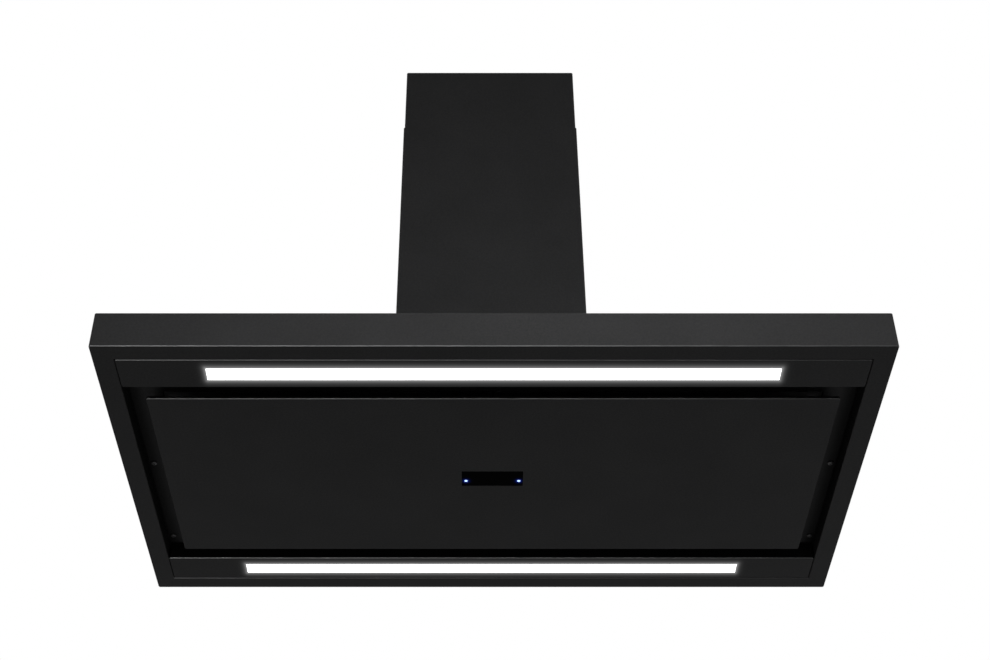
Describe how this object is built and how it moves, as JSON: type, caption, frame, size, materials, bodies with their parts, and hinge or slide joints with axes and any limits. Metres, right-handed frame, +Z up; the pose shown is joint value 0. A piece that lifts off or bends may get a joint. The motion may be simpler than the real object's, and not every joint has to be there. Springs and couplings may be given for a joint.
{
  "type": "chimney range hood",
  "caption": "Flat wall-mounted chimney hood with perimeter suction panel, light bars, grease filters, blower and telescopic chimney.",
  "frame": {"origin": "centre of the bounding box at the underside of the canopy", "axes": "+X to the right along the hood, -Y to the front, +Y to the wall, +Z up"},
  "size_m": [0.9, 0.52, 0.756],
  "materials": {
    "black_coat": "fine-textured matt powder coat",
    "opal_diffuser": "opal, lit from behind",
    "circuit_board": "solder-masked laminate",
    "dark_glass": "polished",
    "indicator": "clear, lit from behind",
    "black_plastic": "moulded",
    "galvanised": "zinc coated",
    "hinge_steel": "turned and bright",
    "dark_screws": "black passivated",
    "filter_aluminium": "bare expanded sheet",
    "motor_casing": "painted",
    "capacitor_can": "moulded",
    "magnet": "moulded carrier",
    "gasket": "closed-cell foam"
  },
  "bodies": {
    "hood": {"blower_box": "galvanised", "blower_box_hook": "galvanised", "blower_box_screws": "dark_screws", "blower_gasket": "gasket", "cable_gland": "black_plastic", "canopy_shell": "black_coat", "catch_magnets": "magnet", "chimney_locating_tabs": "galvanised", "control_board": "circuit_board", "control_box": "galvanised", "control_box_lid": "galvanised", "damper_pin": "hinge_steel", "front_led_board": "circuit_board", "front_light_bar": "black_coat", "front_light_diffuser": "opal_diffuser", "inner_pan": "black_coat", "left_filter_frame": "filter_aluminium", "left_filter_mesh": "filter_aluminium", "left_inlet_ring": "black_plastic", "left_latch_housing": "black_plastic", "light_bar_screws": "dark_screws", "lower_chimney": "black_coat", "motor_bearings": "hinge_steel", "motor_bracket": "galvanised", "motor_bracket_screws": "dark_screws", "motor_housing": "motor_casing", "outlet_spigot": "black_plastic", "pan_screws": "dark_screws", "panel_hinge_brackets": "galvanised", "panel_hinge_pins": "hinge_steel", "panel_hinge_screws": "dark_screws", "rear_led_board": "circuit_board", "rear_light_bar": "black_coat", "rear_light_diffuser": "opal_diffuser", "right_filter_frame": "filter_aluminium", "right_filter_mesh": "filter_aluminium", "right_inlet_ring": "black_plastic", "right_latch_housing": "black_plastic", "run_capacitor": "capacitor_can", "scroll_housing": "galvanised", "spigot_screws": "dark_screws", "terminal_block": "black_plastic", "wall_hanger": "galvanised"},
    "suction_panel_body": {"suction_panel": "black_coat", "panel_ribs": "galvanised", "sensor_window": "dark_glass", "indicator_lenses": "indicator", "sensor_board": "circuit_board", "sensor_cover": "black_plastic", "panel_hinge_arms": "hinge_steel", "catch_plates": "galvanised"},
    "left_latch_body": {"left_filter_latch": "black_plastic"},
    "right_latch_body": {"right_filter_latch": "black_plastic"},
    "impeller_body": {"impeller": "black_plastic", "motor_shaft": "hinge_steel"},
    "front_flap_body": {"front_damper_flap": "black_plastic"},
    "rear_flap_body": {"rear_damper_flap": "black_plastic"},
    "upper_chimney_body": {"upper_chimney": "black_coat", "chimney_wall_bracket": "galvanised", "chimney_bracket_screws": "dark_screws"}
  },
  "joints": [
    {"name": "panel_hinge", "type": "hinge", "parent": "hood", "child": "suction_panel_body", "pos_m": [0, 0.158, 0.012], "axis": [1, 0, 0], "range_deg": [0, 90]},
    {"name": "left_filter_latch_slide", "type": "slide", "parent": "hood", "child": "left_latch_body", "axis": [0, 1, 0], "range_m": [0, 0.006], "stiffness_N_per_m": 300, "springref_m": -0.004},
    {"name": "right_filter_latch_slide", "type": "slide", "parent": "hood", "child": "right_latch_body", "axis": [0, 1, 0], "range_m": [0, 0.006], "stiffness_N_per_m": 300, "springref_m": -0.004},
    {"name": "impeller_spin", "type": "hinge", "parent": "hood", "child": "impeller_body", "pos_m": [0, 0.135, 0.185], "axis": [1, 0, 0], "continuous": true},
    {"name": "rear_flap_hinge", "type": "hinge", "parent": "hood", "child": "rear_flap_body", "pos_m": [0, 0.135, 0.382], "axis": [1, 0, 0], "range_deg": [0, 70]},
    {"name": "front_flap_hinge", "type": "hinge", "parent": "hood", "child": "front_flap_body", "pos_m": [0, 0.135, 0.382], "axis": [-1, 0, 0], "range_deg": [0, 70]},
    {"name": "upper_chimney_slide", "type": "slide", "parent": "hood", "child": "upper_chimney_body", "axis": [0, 0, 1], "range_m": [-0.09, 0.318]}
  ],
  "couplings": [
    {"joint": "front_flap_hinge", "follows": "rear_flap_hinge", "ratio": 1}
  ]
}
